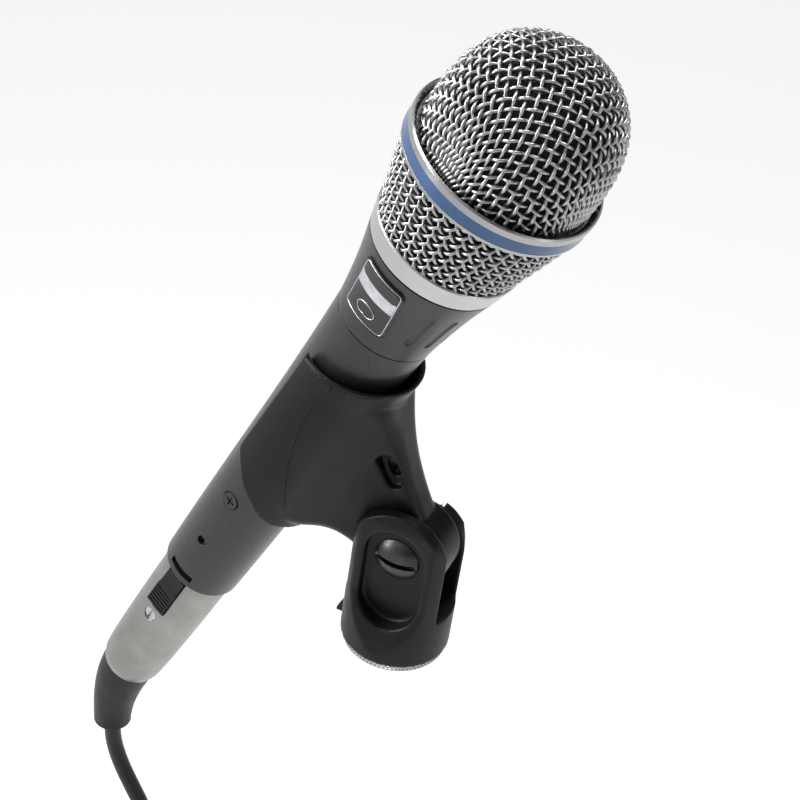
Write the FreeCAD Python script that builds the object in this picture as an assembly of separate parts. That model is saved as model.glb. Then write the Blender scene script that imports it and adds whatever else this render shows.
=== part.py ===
"""Handheld vocal microphone in a tilting stand clip, with its plugged-in lead. Millimetres.

Row frame: origin at the mouth of the stand thread, +Z up along it, +X towards the side that the head leans
to, +Y along the clip's pivot, away from the slotted screw head.
Microphone frame: z from the cable end of the handle towards the head, -y through the badge and the latch.
Clip frame: z as the microphone, +x from the microphone towards the pivot, y as the row.
"""
import math
import os

import FreeCAD
import Part

V = FreeCAD.Vector
Z_AXIS = V(0, 0, 1)
Y_AXIS = V(0, 1, 0)
ORIGIN = V(0, 0, 0)

# How the microphone stands in the clip
TILT = 22.6            # lean of the microphone from upright, degrees
ROLL = -18.5           # turn of the microphone about its own axis, degrees
PIVOT_HEIGHT = 34.0    # pivot above the mouth of the stand thread
PIVOT_OFFSET = 40.4    # pivot from the microphone's axis
PIVOT_STATION = 56.4   # pivot's place along the microphone, from the handle's end

# Handle and head
HANDLE_PROFILE = [(11.2, 0.0), (11.55, 15.0), (11.9, 35.0), (12.3, 65.0), (12.9, 92.0), (13.7, 112.7)]
HANDLE_BORE = 10.1
SOCKET_BORE = 8.1      # opening at the handle's end that takes the plug's nose
SOCKET_DEPTH = 13.0
SEAM_GAP = 0.3
HOUSING_PROFILE = [(13.75, 113.0), (14.45, 118.5), (15.3, 124.0), (16.25, 129.2), (17.4, 134.5),
                   (18.6, 139.6)]
HOUSING_WALL = 2.2
COLLAR_BOTTOM = 139.95
COLLAR_TOP = 146.4
COLLAR_R_BOTTOM = 18.75
COLLAR_R_TOP = 19.95
BAND_BOTTOM = 169.0
BAND_TOP = 172.4
BAND_R = 25.2
RIM_TOP = 174.6
RIM_R = 25.45
LIP_BOTTOM = 168.1
GRILLE_WALL = 1.2
LOWER_GRILLE = [(19.55, 146.4), (20.75, 150.6), (22.1, 156.0), (23.25, 160.8), (24.2, 165.0), (24.75, 168.1)]
DOME_BASE = 172.9
DOME_R = 23.35
DOME_SKIRT = 5.0
DOME_HEIGHT = 27.2
DOME_POWER = 2.5
FOAM_GAP = 0.5
FOAM_WALL = 3.0
BADGE_LOW = 118.4
BADGE_HIGH = 136.6
BADGE_HALF_WIDTH = 7.1
FLUTE_ANGLES = [52.5 + 22.5 * step for step in range(10)]
HANDLE_SCREW_AT = 37.9
CLAMP_HOLE_AT = 18.4
LATCH_WINDOW_AT = 3.0

# Capsule
CAPSULE_R = 10.2
CAPSULE_LOW = 160.0
CAPSULE_HIGH = 171.0

# Plug of the lead, in the microphone frame
PLUG_TOP = -0.35
PLUG_PROFILE = [(10.05, PLUG_TOP), (9.98, -14.0), (9.8, -26.0), (9.55, -37.0), (9.25, -46.0), (8.9, -51.0)]
PLUG_END = -53.4
PLUG_END_R = 8.2
NOSE_R = 7.75
NOSE_TOP = 10.6
PIN_R = 1.2
PIN_CIRCLE = 3.6
PIN_ANGLES = [90.0, 210.0, 330.0]
LATCH_HINGE_AT = -16.2
LATCH_HINGE_DEPTH = -7.3
LATCH_HALF_WIDTH = 3.2

# Boots and cable
CABLE_D = 5.0
BOOT_LENGTH = 28.3
BOOT_BEND = 25.0       # degrees that the boot droops over its length
BOOT_RADII = [8.0, 7.75, 7.35, 6.85, 6.35, 5.9, 5.6]
COIL_R = 30.0          # mid-turn radius of the stored coil
COIL_TURNS = 15
COIL_CENTRE = V(-100.2, 8.25, -203.0)
COIL_ROW = 1.1 * CABLE_D
COIL_STEP = 1.3 * CABLE_D
COIL_COLUMNS = 4
CABLE_ENTRY_X = -61.2

# Clip
CLIP_FRONT = 98.8      # front edge of the cradle on the microphone's axis; it slants
CLIP_R = 16.2
CLIP_OPENING = -10.4   # the two lips end at this x
BOSS_R = 12.4
BOSS_HALF = 5.6
CHEEK_GAP_HALF = 6.5
CHEEK_FACE = 10.6
SLOT_FLOOR = 16.0
BASE_R = 15.0
RECESS_FLOOR = 8.0
RECESS_R = 8.5
RECESS_LOW = 21.2
RECESS_HIGH = 35.8
SHANK_R = 3.0
SCREW_HEAD_R = 6.4
INSERT_FLANGE_R = 14.15
INSERT_BODY_R = 11.0
INSERT_TOP = 10.4
INSERT_FLANGE = 2.0
THREAD_R = 7.45        # wall of a 5/8 inch, 27 threads per inch nut thread

SIN_TILT = math.sin(math.radians(TILT))
COS_TILT = math.cos(math.radians(TILT))
HANDLE_END = V(
    -PIVOT_OFFSET * COS_TILT - PIVOT_STATION * SIN_TILT,
    0,
    PIVOT_HEIGHT + PIVOT_OFFSET * SIN_TILT - PIVOT_STATION * COS_TILT,
)


def in_clip(shape):
    """Move a shape from the clip frame to the row frame."""
    placed = shape.copy()
    placed.rotate(ORIGIN, Y_AXIS, TILT)
    placed.translate(HANDLE_END)
    return placed


def in_mic(shape):
    """Move a shape from the microphone frame to the row frame."""
    placed = shape.copy()
    placed.rotate(ORIGIN, Z_AXIS, ROLL)
    return in_clip(placed)


def clip_point(x, z):
    """Row-frame place of a clip-frame point on the plane y = 0."""
    return HANDLE_END + V(x * COS_TILT + z * SIN_TILT, 0, -x * SIN_TILT + z * COS_TILT)


def cylinder(radius, low, high, x=0.0, y=0.0):
    return Part.makeCylinder(radius, high - low, V(x, y, low))


def tube(outer, inner, low, high):
    return cylinder(outer, low, high).cut(cylinder(inner, low - 1, high + 1))


def along_y(radius, low, high, x=0.0, z=0.0):
    return Part.makeCylinder(radius, high - low, V(x, low, z), Y_AXIS)


def box(x, y, z):
    """Box from (low, high) pairs."""
    return Part.makeBox(x[1] - x[0], y[1] - y[0], z[1] - z[0], V(x[0], y[0], z[0]))


def turned(points):
    """Solid of revolution about z from (radius, z) corners."""
    corners = [V(r, 0, z) for r, z in points]
    face = Part.Face(Part.makePolygon(corners + corners[:1]))
    return face.revolve(ORIGIN, Z_AXIS, 360)


def turned_smooth(curve, corners):
    """Solid of revolution: a smooth curve through its points, then straight sides through the corners."""
    spline = Part.BSplineCurve()
    spline.interpolate([V(r, 0, z) for r, z in curve])
    path = [V(r, 0, z) for r, z in [curve[-1]] + corners + [curve[0]]]
    edges = [spline.toShape()] + Part.makePolygon(path).Edges
    return Part.Face(Part.Wire(edges)).revolve(ORIGIN, Z_AXIS, 360)


def shell_of(curve, wall):
    """Thin turned wall: the curve and the same curve moved in by the wall."""
    outer = Part.BSplineCurve()
    outer.interpolate([V(r, 0, z) for r, z in curve])
    inner = Part.BSplineCurve()
    inner.interpolate([V(r - wall, 0, z) for r, z in curve])
    top = Part.makeLine(V(curve[-1][0], 0, curve[-1][1]), V(curve[-1][0] - wall, 0, curve[-1][1]))
    bottom = Part.makeLine(V(curve[0][0], 0, curve[0][1]), V(curve[0][0] - wall, 0, curve[0][1]))
    wire = Part.Wire(Part.__sortEdges__([outer.toShape(), top, inner.toShape(), bottom]))
    return Part.Face(wire).revolve(ORIGIN, Z_AXIS, 360)


def turn_about_z(shape, degrees):
    turned_shape = shape.copy()
    turned_shape.rotate(ORIGIN, Z_AXIS, degrees)
    return turned_shape


def prism_y(points, low, high):
    """Extrude an (x, z) polygon along y."""
    corners = [V(x, low, z) for x, z in points]
    return Part.Face(Part.makePolygon(corners + corners[:1])).extrude(V(0, high - low, 0))


def wires(paths, radius):
    """Thin round wires, each through its list of points."""
    solids = []
    for path in paths:
        for start, end in zip(path, path[1:]):
            run = V(*end) - V(*start)
            solids.append(Part.makeCylinder(radius, run.Length, V(*start), run))
        for joint in path[1:-1]:
            solids.append(Part.makeSphere(radius, V(*joint)))
    whole = solids[0].multiFuse(solids[1:]).removeSplitter()
    return whole


def dome_outline(radius, height, base, skirt):
    """(radius, z) points of a flattened dome on a short straight skirt."""
    points = [(radius, base)]
    steps = 14
    for step in range(steps + 1):
        angle = math.pi / 2 * step / steps
        r = radius * math.cos(angle) ** (2 / DOME_POWER) if step < steps else 0.0
        points.append((r, base + skirt + height * math.sin(angle) ** (2 / DOME_POWER)))
    return points


# ---- microphone: casing ----

def make_handle_shell():
    outer = turned_smooth(HANDLE_PROFILE, [(0, HANDLE_PROFILE[-1][1]), (0, 0)])
    body = outer.cut(cylinder(HANDLE_BORE, SOCKET_DEPTH, 120))
    body = body.cut(cylinder(SOCKET_BORE, -1, SOCKET_DEPTH + 1))
    window = box((-4.3, 4.3), (-13, -7.5), (LATCH_WINDOW_AT - 1.1, LATCH_WINDOW_AT + 1.1))
    clamp_hole = along_y(1.45, -14, -9, z=CLAMP_HOLE_AT)
    screw_hole = along_y(1.55, -14, -8, z=HANDLE_SCREW_AT)
    countersink = along_y(2.75, -14, -11.0, z=HANDLE_SCREW_AT)
    return body.cut(window).cut(clamp_hole).cut(screw_hole).cut(countersink)


def make_head_housing():
    wall = shell_of(HOUSING_PROFILE, HOUSING_WALL)
    spigot = tube(HANDLE_BORE - 0.05, 8.6, 104.0, 114.5)
    step = tube(12.6, 8.6, 113.0, 114.5)
    body = wall.fuse(step).fuse(spigot)
    for angle in FLUTE_ANGLES:
        lean = math.degrees(math.atan2(2.6, 15.0))
        groove = Part.makeCylinder(1.5, 11.4, V(0, 0, 0))
        groove = groove.fuse(Part.makeSphere(1.5, V(0, 0, 0))).fuse(Part.makeSphere(1.5, V(0, 0, 11.4)))
        groove.rotate(ORIGIN, V(1, 0, 0), lean)
        groove.translate(V(0, -15.75, 120.6))
        body = body.cut(turn_about_z(groove, angle))
    return body.removeSplitter()


def badge_layer(inset, low_offset, high_offset):
    """Plate that follows the flare of the housing, between two heights above its surface."""
    grown = [(r + high_offset, z) for r, z in HOUSING_PROFILE]
    layer = shell_of(grown, high_offset - low_offset)
    half = BADGE_HALF_WIDTH - inset
    low, high = BADGE_LOW + inset, BADGE_HIGH - inset
    corner = 1.6 - inset * 0.6
    window = box((-half, half), (-25, -5), (low, high))
    edges = [edge for edge in window.Edges if abs(edge.tangentAt(edge.FirstParameter).y) > 0.9]
    return layer.common(window.makeFillet(corner, edges))


def make_badge_plate():
    return badge_layer(0.0, 0.0, 0.3)


def make_badge_field():
    return badge_layer(0.55, 0.3, 0.5)


def make_handle_screw():
    head = along_y(2.45, -12.0, -11.0, z=HANDLE_SCREW_AT)
    shank = along_y(1.5, -11.0, -7.2, z=HANDLE_SCREW_AT)
    screw = head.fuse(shank)
    for wide, tall in ((1.5, 0.28), (0.28, 1.5)):
        cross = box((-wide, wide), (-12.5, -11.4), (HANDLE_SCREW_AT - tall, HANDLE_SCREW_AT + tall))
        screw = screw.cut(cross)
    return screw


def make_clamp_screw():
    screw = along_y(1.4, -10.6, -9.05, z=CLAMP_HOLE_AT)
    return screw.cut(box((-0.25, 0.25), (-11, -10.1), (CLAMP_HOLE_AT - 1.5, CLAMP_HOLE_AT + 1.5)))


# ---- microphone: grille ----

def make_grille_collar():
    top_inner = COLLAR_R_TOP - 1.6
    return turned([
        (COLLAR_R_BOTTOM, COLLAR_BOTTOM + 0.2), (COLLAR_R_TOP, COLLAR_TOP - 0.3),
        (COLLAR_R_TOP - 0.3, COLLAR_TOP), (top_inner, COLLAR_TOP), (15.9, 143.0), (13.7, 141.0),
        (13.7, 134.0), (14.6, 134.0), (15.9, 138.7), (15.9, COLLAR_BOTTOM),
        (COLLAR_R_BOTTOM - 0.25, COLLAR_BOTTOM),
    ])


def make_lower_grille():
    return shell_of(LOWER_GRILLE, GRILLE_WALL)


def make_band_lip():
    return turned([
        (BAND_R - 0.1, LIP_BOTTOM), (BAND_R + 0.05, BAND_BOTTOM), (22.4, BAND_BOTTOM), (22.4, LIP_BOTTOM),
    ])


def make_band():
    return turned([(BAND_R, BAND_BOTTOM), (BAND_R, BAND_TOP), (22.4, BAND_TOP), (22.4, BAND_BOTTOM)])


def make_dome_rim():
    return turned([
        (RIM_R, BAND_TOP), (RIM_R, RIM_TOP - 0.5), (RIM_R - 0.3, RIM_TOP), (RIM_R - 0.7, RIM_TOP - 0.1),
        (24.2, 173.7), (23.8, 173.1), (23.65, DOME_BASE), (22.4, DOME_BASE), (22.4, BAND_TOP),
    ])


def make_dome_grille():
    outer = dome_outline(DOME_R, DOME_HEIGHT, DOME_BASE, DOME_SKIRT)
    inner = dome_outline(DOME_R - GRILLE_WALL, DOME_HEIGHT - GRILLE_WALL, DOME_BASE, DOME_SKIRT)
    full = turned_smooth(outer[1:], [(0, DOME_BASE), (DOME_R, DOME_BASE)])
    core = turned_smooth(inner[1:], [(0, DOME_BASE - 1), (DOME_R - GRILLE_WALL, DOME_BASE - 1)])
    return full.cut(core)


def make_foam_liner():
    gap = GRILLE_WALL + FOAM_GAP
    outer = dome_outline(DOME_R - gap, DOME_HEIGHT - gap, DOME_BASE, DOME_SKIRT)
    inner_gap = gap + FOAM_WALL
    inner = dome_outline(DOME_R - inner_gap, DOME_HEIGHT - inner_gap, DOME_BASE, DOME_SKIRT)
    low_outer = [(r - gap, z) for r, z in LOWER_GRILLE[1:-1]]
    top = turned_smooth(outer[1:], [(0, 165.0), (21.6, 165.0)])
    top = top.fuse(turned([(low_outer[0][0], 150.6), (low_outer[-1][0], 165.0), (0, 165.0), (0, 150.6)]))
    hollow = turned_smooth(inner[1:], [(0, 165.0), (18.6, 165.0)])
    hollow = hollow.fuse(turned([(17.0, 149.0), (18.6, 165.0), (0, 165.0), (0, 149.0)]))
    return top.cut(hollow)


# ---- microphone: capsule ----

def make_capsule_housing():
    return turned([
        (CAPSULE_R, CAPSULE_LOW), (CAPSULE_R, CAPSULE_HIGH), (9.35, CAPSULE_HIGH), (9.35, CAPSULE_LOW + 1.5),
        (3.5, CAPSULE_LOW + 1.5), (3.5, CAPSULE_LOW),
    ])


def make_capsule_grid():
    grid = cylinder(CAPSULE_R, CAPSULE_HIGH, CAPSULE_HIGH + 0.9)
    for ring, count in ((0.0, 1), (3.0, 6), (5.8, 12), (8.4, 18)):
        for step in range(count):
            angle = 2 * math.pi * step / count
            grid = grid.cut(cylinder(0.95, 170, 173, ring * math.cos(angle), ring * math.sin(angle)))
    return grid


def make_diaphragm():
    return cylinder(9.25, 169.0, 169.12)


def make_diaphragm_ring():
    return tube(9.3, 8.1, 169.12, 170.9)


def make_backplate():
    plate = cylinder(8.6, 167.2, 168.9)
    for step in range(8):
        angle = math.pi / 4 * step
        plate = plate.cut(cylinder(0.8, 166, 170, 5.5 * math.cos(angle), 5.5 * math.sin(angle)))
    return plate


def make_backplate_insulator():
    return turned([
        (9.3, 164.5), (9.3, 168.9), (8.65, 168.9), (8.65, 167.1), (4.0, 167.1), (4.0, 164.5),
    ])


def make_shock_mount():
    return turned([
        (CAPSULE_R + 0.02, 160.6), (11.2, 160.6), (11.6, 159.6), (12.9, 159.6), (12.9, 161.8), (12.0, 162.2),
        (11.6, 164.5), (CAPSULE_R + 0.02, 164.5),
    ])


def make_capsule_carrier():
    return turned([
        (12.9, 159.5), (12.9, 157.5), (12.4, 156.0), (12.4, 126.0), (11.2, 126.0), (11.2, 159.5),
    ])


def make_carrier_ring():
    return tube(13.75, 12.45, 128.6, 131.0)


def make_capsule_leads():
    paths = []
    for side in (-1, 1):
        paths.append([(side * 1.6, 0, 166.0), (side * 1.6, 0, 150.0), (side * 3.0, 0.6, 128.0),
                      (side * 3.0, 1.3, 99.0)])
    return wires(paths, 0.45)


# ---- microphone: electronics ----

def make_preamp_board():
    board = box((-8.0, 8.0), (-0.8, 0.8), (28.0, 101.0))
    for z in (33.0, 96.0):
        board = board.cut(along_y(1.2, -2, 2, x=5.5, z=z))
    return board


def make_transistors():
    parts = []
    for x, z in ((-4.0, 93.0), (4.0, 93.0)):
        can = Part.makeCylinder(2.3, 4.4, V(x, -5.2, z), Y_AXIS)
        parts.append(can.cut(box((x - 3, x + 3), (-6, 0), (z + 1.6, z + 4))))
    return Part.makeCompound(parts)


def make_capacitors():
    parts = []
    for z in (44.0, 56.0, 70.0):
        parts.append(Part.makeCylinder(3.1, 6.4, V(-1.5, -7.2, z), Y_AXIS))
    return Part.makeCompound(parts)


def make_board_chips():
    parts = []
    for row in range(6):
        z = 38.0 + 9.5 * row
        parts.append(box((3.4, 6.2), (-2.0, -0.8), (z, z + 1.8)))
        parts.append(box((-3.0, 1.6), (0.8, 2.4), (z, z + 3.4)))
    return Part.makeCompound(parts)


def make_board_leads():
    paths = []
    for angle in PIN_ANGLES:
        x = PIN_CIRCLE * math.cos(math.radians(angle))
        y = PIN_CIRCLE * math.sin(math.radians(angle))
        paths.append([(x, y, 18.6), (x, y, 22.0), (x * 1.2, 1.4, 27.5), (x * 1.2, 1.4, 31.0)])
    return wires(paths, 0.45)


def pin_places():
    radians = [math.radians(angle) for angle in PIN_ANGLES]
    return [(PIN_CIRCLE * math.cos(angle), PIN_CIRCLE * math.sin(angle)) for angle in radians]


def make_socket_insert():
    insert = cylinder(9.0, SOCKET_DEPTH + 0.05, 17.6).fuse(cylinder(7.9, 11.6, SOCKET_DEPTH + 0.05))
    for x, y in pin_places():
        insert = insert.cut(cylinder(PIN_R, 10, 20, x, y))
    return insert.removeSplitter()


def make_contact_pins():
    pins = []
    for x, y in pin_places():
        pin = cylinder(PIN_R, 2.6, 18.5, x, y).fuse(Part.makeSphere(PIN_R, V(x, y, 2.6)))
        pins.append(pin.removeSplitter())
    return Part.makeCompound(pins)


# ---- plug of the lead ----

def latch_slot():
    return box((-3.5, 3.5), (-12, -4.8), (LATCH_HINGE_AT - 1.5, 7.0))


def hinge_bore(radius):
    return Part.makeCylinder(radius, 8.6, V(-4.3, LATCH_HINGE_DEPTH, LATCH_HINGE_AT), V(1, 0, 0))


def make_plug_shell():
    curve = PLUG_PROFILE[::-1]
    body = turned_smooth(curve, [(0, PLUG_TOP), (0, PLUG_END), (PLUG_END_R, PLUG_END)])
    body = body.cut(cylinder(6.9, -47.0, 5)).cut(cylinder(6.2, PLUG_END - 1, -46))
    body = body.fuse(tube(NOSE_R, 6.9, PLUG_TOP - 1, NOSE_TOP))
    screw_hole = along_y(2.15, -12, -8.3, z=-21.2).fuse(along_y(1.25, -12, -6, z=-21.2))
    return body.cut(latch_slot()).cut(screw_hole).cut(hinge_bore(0.62)).removeSplitter()


def make_plug_insulator():
    insulator = cylinder(6.85, -15.0, NOSE_TOP - 0.3)
    insulator = insulator.cut(box((-3.6, 3.6), (-8, -4.0), (-16, 12)))
    for x, y in pin_places():
        insulator = insulator.cut(cylinder(1.8, -16, 12, x, y))
    return insulator


def make_plug_sockets():
    sockets = []
    for x, y in pin_places():
        contact = cylinder(1.75, -18.0, 10.0, x, y).cut(cylinder(PIN_R + 0.06, -4.0, 11, x, y))
        sockets.append(contact)
    return Part.makeCompound(sockets)


def make_plug_latch():
    half = LATCH_HALF_WIDTH
    side = [(LATCH_HINGE_AT - 0.9, -8.2), (LATCH_HINGE_AT - 0.9, -10.2), (LATCH_HINGE_AT + 0.6, -11.3),
            (-7.6, -11.3), (-6.6, -10.5), (-1.0, -10.3), (-0.7, -7.3), (4.4, -7.3), (4.4, -6.3),
            (LATCH_HINGE_AT + 2.0, -6.5), (LATCH_HINGE_AT - 0.9, -6.6)]
    corners = [V(-half, y, z) for z, y in side]
    body = Part.Face(Part.makePolygon(corners + corners[:1])).extrude(V(2 * half, 0, 0))
    for step in range(6):
        z = LATCH_HINGE_AT + 1.3 + 1.25 * step
        body = body.cut(box((-half - 1, half + 1), (-12.2, -10.7), (z, z + 0.55)))
    spring_room = box((-1.3, 1.3), (-8.6, -6), (LATCH_HINGE_AT - 1.5, LATCH_HINGE_AT + 1.5))
    return body.cut(hinge_bore(0.65)).cut(spring_room)


def make_latch_pin():
    return hinge_bore(0.6)


def make_latch_spring():
    coils = []
    for x in (-0.8, 0.0, 0.8):
        coils.append(Part.makeTorus(0.95, 0.2, V(x, LATCH_HINGE_DEPTH, LATCH_HINGE_AT), V(1, 0, 0)))
    return Part.makeCompound(coils)


def make_plug_screw():
    screw = along_y(2.05, -9.5, -8.35, z=-21.2).fuse(along_y(1.2, -8.35, -6.9, z=-21.2))
    return screw.cut(box((-0.3, 0.3), (-10, -8.9), (-23, -19.2)))


def make_cable_clamp():
    ring = tube(6.1, CABLE_D / 2 + 0.05, -45.5, -34.0)
    return ring.cut(box((-0.6, 0.6), (-7, 0), (-47, -33)))


def make_cable_core():
    return cylinder(CABLE_D / 2, -46.8, -24.0)


# ---- boots, cable and coil ----

def boot_frames():
    """Centres and directions along the drooping boot, in the row frame."""
    frames = []
    steps = len(BOOT_RADII) - 1
    place = clip_point(0, PLUG_END)
    for step in range(steps + 1):
        lean = math.radians(TILT - BOOT_BEND * step / steps)
        direction = V(-math.sin(lean), 0, -math.cos(lean))
        frames.append((place, direction))
        middle = math.radians(TILT - BOOT_BEND * (step + 0.5) / steps)
        place = place + V(-math.sin(middle), 0, -math.cos(middle)) * (BOOT_LENGTH / steps)
    return frames


def make_strain_boot():
    sections = []
    for (place, direction), radius in zip(boot_frames(), BOOT_RADII):
        sections.append(Part.Wire(Part.makeCircle(radius, place, direction)))
    return Part.makeLoft(sections, True, False)


def rounded_path(points):
    """Straight runs joined by tangent arcs, each as large as its two runs allow."""
    edges = []
    length = 0.0
    here = points[0]
    for before, corner, after in zip(points, points[1:], points[2:]):
        back = (before - corner)
        ahead = (after - corner)
        turn = math.pi - back.getAngle(ahead)
        reach = 0.45 * min(back.Length, ahead.Length)
        radius = reach / math.tan(turn / 2)
        start = corner + back * (reach / back.Length)
        end = corner + ahead * (reach / ahead.Length)
        bisector = back * (1 / back.Length) + ahead * (1 / ahead.Length)
        bisector.normalize()
        centre = corner + bisector * (radius / math.cos(turn / 2))
        middle = centre - bisector * radius
        edges.append(Part.LineSegment(here, start).toShape())
        edges.append(Part.Arc(start, middle, end).toShape())
        length += (start - here).Length + radius * turn
        here = end
        print("radius %.1f, turn %.1f" % (radius, math.degrees(turn)))
    edges.append(Part.LineSegment(here, points[-1]).toShape())
    length += (points[-1] - here).Length
    return Part.Wire(edges), length


def cord_tube(points):
    path, length = rounded_path(points)
    start = path.Edges[0]
    section = Part.Wire(Part.makeCircle(CABLE_D / 2, points[0], start.tangentAt(start.FirstParameter)))
    solid = path.makePipeShell([section], True, True)
    expected = math.pi * CABLE_D ** 2 / 4 * length
    print("length %.1f, volume ratio %.4f" % (length, solid.Volume / expected))
    return solid


def cable_route():
    """Hand-set places from the boot down to the coil, on the plane y = 0."""
    exit_place, direction = boot_frames()[-1]
    return [
        exit_place,
        exit_place + direction * 6.0,
        V(-82.8, 0, -91.7),
        V(-80.3, 0, -97.9),
        V(-76.7, 0, -104.5),
        V(-72.3, 0, -111.8),
        V(-68.2, 0, -120.9),
        V(-64.9, 0, -132.5),
        V(-62.7, 0, -146.3),
        V(-61.6, 0, -162.8),
        V(CABLE_ENTRY_X, 0, -182.8),
        V(CABLE_ENTRY_X, 0, COIL_CENTRE.z),
    ]


def tail_route():
    """Places from the coil down to the far connector's boot."""
    y = COIL_CENTRE.y + 1.5 * COIL_ROW
    return [
        V(CABLE_ENTRY_X, y, COIL_CENTRE.z),
        V(CABLE_ENTRY_X, y, COIL_CENTRE.z - 15),
        V(CABLE_ENTRY_X - 1.5, y, COIL_CENTRE.z - 33),
        V(CABLE_ENTRY_X - 1.5, y, COIL_CENTRE.z - 51),
    ]


def coil_reach():
    """Half of the radial span that the turns' centres take."""
    bends = (COIL_COLUMNS - 1) * math.pi * COIL_ROW / 2
    return (COIL_TURNS * COIL_STEP - bends) / COIL_COLUMNS / 2


def make_cable_coil():
    radial = coil_reach() + COIL_ROW / 2 + CABLE_D / 2 + 0.4
    half = (COIL_COLUMNS - 1) / 2 * COIL_ROW + CABLE_D / 2 + 0.4
    section = box((COIL_R - radial, COIL_R + radial), (-half, half), (-0.01, 0.01)).Faces
    flat = [face for face in section if abs(face.normalAt(0, 0).z) > 0.9][0]
    ring = flat.revolve(ORIGIN, Y_AXIS, 360)
    ring = ring.makeFillet(4.0, ring.Edges)
    ring.translate(COIL_CENTRE)
    return ring


def make_cable_tie():
    radial = coil_reach() + COIL_ROW / 2 + CABLE_D / 2 + 1.8
    half = (COIL_COLUMNS - 1) / 2 * COIL_ROW + CABLE_D / 2 + 1.8
    block = box((-6.5, 6.5), (-half, half), (COIL_R - radial, COIL_R + radial))
    edges = [edge for edge in block.Edges if abs(edge.tangentAt(edge.FirstParameter).x) > 0.9]
    block = block.makeFillet(4.5, edges)
    block.translate(COIL_CENTRE)
    return block.cut(make_cable_coil())


def far_frame(shape):
    """Hang a far-connector shape, built with z up from its boot's tip at 0, from the end of the tail."""
    placed = shape.copy()
    placed.rotate(ORIGIN, Y_AXIS, 180)
    placed.translate(tail_route()[-1])
    return placed


def make_far_boot():
    return turned([(0, 0), (4.6, 0), (5.2, 0.6), (6.6, 14.0), (8.0, 27.0), (8.0, 28.0), (0, 28.0)])


def make_far_shell():
    body = turned_smooth(
        [(8.2, 28.0), (9.0, 31.0), (9.5, 42.0), (9.7, 58.0), (9.75, 84.0)],
        [(9.4, 84.4), (7.95, 84.4), (7.95, 68.0), (6.9, 66.0), (6.9, 34.0), (6.2, 33.0), (6.2, 28.0)],
    )
    return body.cut(along_y(1.5, -12, -6, z=61.0))


def make_far_insulator():
    body = cylinder(7.85, 68.1, 71.5).fuse(cylinder(6.8, 60.0, 68.1))
    for x, y in pin_places():
        body = body.cut(cylinder(PIN_R, 55, 75, x, y))
    return body


def make_far_pins():
    pins = []
    for x, y in pin_places():
        pin = cylinder(PIN_R, 57.0, 82.0, x, y).fuse(Part.makeSphere(PIN_R, V(x, y, 82.0)))
        pins.append(pin.removeSplitter())
    return Part.makeCompound(pins)


def make_far_screw():
    screw = along_y(1.45, -9.6, -7.0, z=61.0)
    return screw.cut(box((-0.25, 0.25), (-10, -9.0), (59.0, 63.0)))


# ---- stand clip ----

def rounded_section(x, low, high, half):
    """Rounded rectangle across the neck at one distance from the microphone's axis."""
    corner = min(half, 4.5) * 0.8
    plate = box((x, x + 0.01), (-half, half), (low, high))
    edges = [edge for edge in plate.Edges if abs(edge.tangentAt(edge.FirstParameter).x) > 0.9]
    rounded = plate.makeFillet(corner, edges)
    face = min(rounded.Faces, key=lambda item: item.CenterOfMass.x)
    return face.OuterWire


def neck_slot(radius, half_run, low, high):
    """Long hole through the neck, running along it."""
    along = (0.74, -0.67)
    ends = [(24.6 + side * half_run * along[0], 77.4 + side * half_run * along[1]) for side in (-1, 1)]
    across = (radius * along[1], -radius * along[0])
    sides = [(x - across[0], z - across[1]) for x, z in ends]
    sides += [(x + across[0], z + across[1]) for x, z in reversed(ends)]
    slot = prism_y(sides, low, high)
    for x, z in ends:
        slot = slot.fuse(along_y(radius, low, high, x=x, z=z))
    return slot


def make_clip_cradle():
    barrel = turned([(0, 40.0), (CLIP_R, 40.0), (CLIP_R, 92.0), (CLIP_R + 0.4, 104.0), (0, 104.0)])
    neck = Part.makeLoft([
        rounded_section(1.5, 51.0, 98.0, 15.9),
        rounded_section(5.0, 47.5, 98.2, 15.2),
        rounded_section(9.0, 44.6, 98.2, 13.3),
        rounded_section(13.0, 43.6, 97.2, 11.0),
        rounded_section(17.0, 45.0, 93.2, 8.8),
        rounded_section(22.0, 46.2, 87.2, 6.3),
        rounded_section(28.0, 46.6, 80.2, 5.5),
        rounded_section(35.0, 46.6, 73.2, 5.5),
        rounded_section(40.0, 47.4, 69.0, 5.5),
    ], True, False)
    boss = along_y(BOSS_R, -BOSS_HALF, BOSS_HALF, x=PIVOT_OFFSET, z=PIVOT_STATION)
    body = barrel.fuse(neck).fuse(boss)
    bore = turned([(0, 30), (12.15, 30), (12.35, 43.0), (13.3, 90.0), (15.6, 104.5), (0, 104.5)])
    mouth = box((-30, CLIP_OPENING), (-30, 30), (30, 110))
    heel = prism_y([(-20, 30), (-20, 70), (-9.6, 56.5), (-4.7, 51.0), (-0.3, 47.3), (4.7, 44.0), (9.0, 42.0),
                    (20, 42.0), (20, 30)], -30, 30)
    front = prism_y([(-30, CLIP_FRONT - 6.6), (30, CLIP_FRONT + 6.6), (30, 130), (-30, 130)], -30, 30)
    pivot_hole = along_y(SHANK_R + 0.05, -10, 10, x=PIVOT_OFFSET, z=PIVOT_STATION)
    body = body.cut(bore).cut(mouth).cut(heel).cut(front).cut(pivot_hole)
    body = body.cut(neck_slot(2.6, 2.9, 3.2, 12)).cut(neck_slot(2.6, 2.9, -12, -3.2))
    return body.cut(neck_slot(1.4, 1.3, -12, 12)).removeSplitter()


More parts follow.
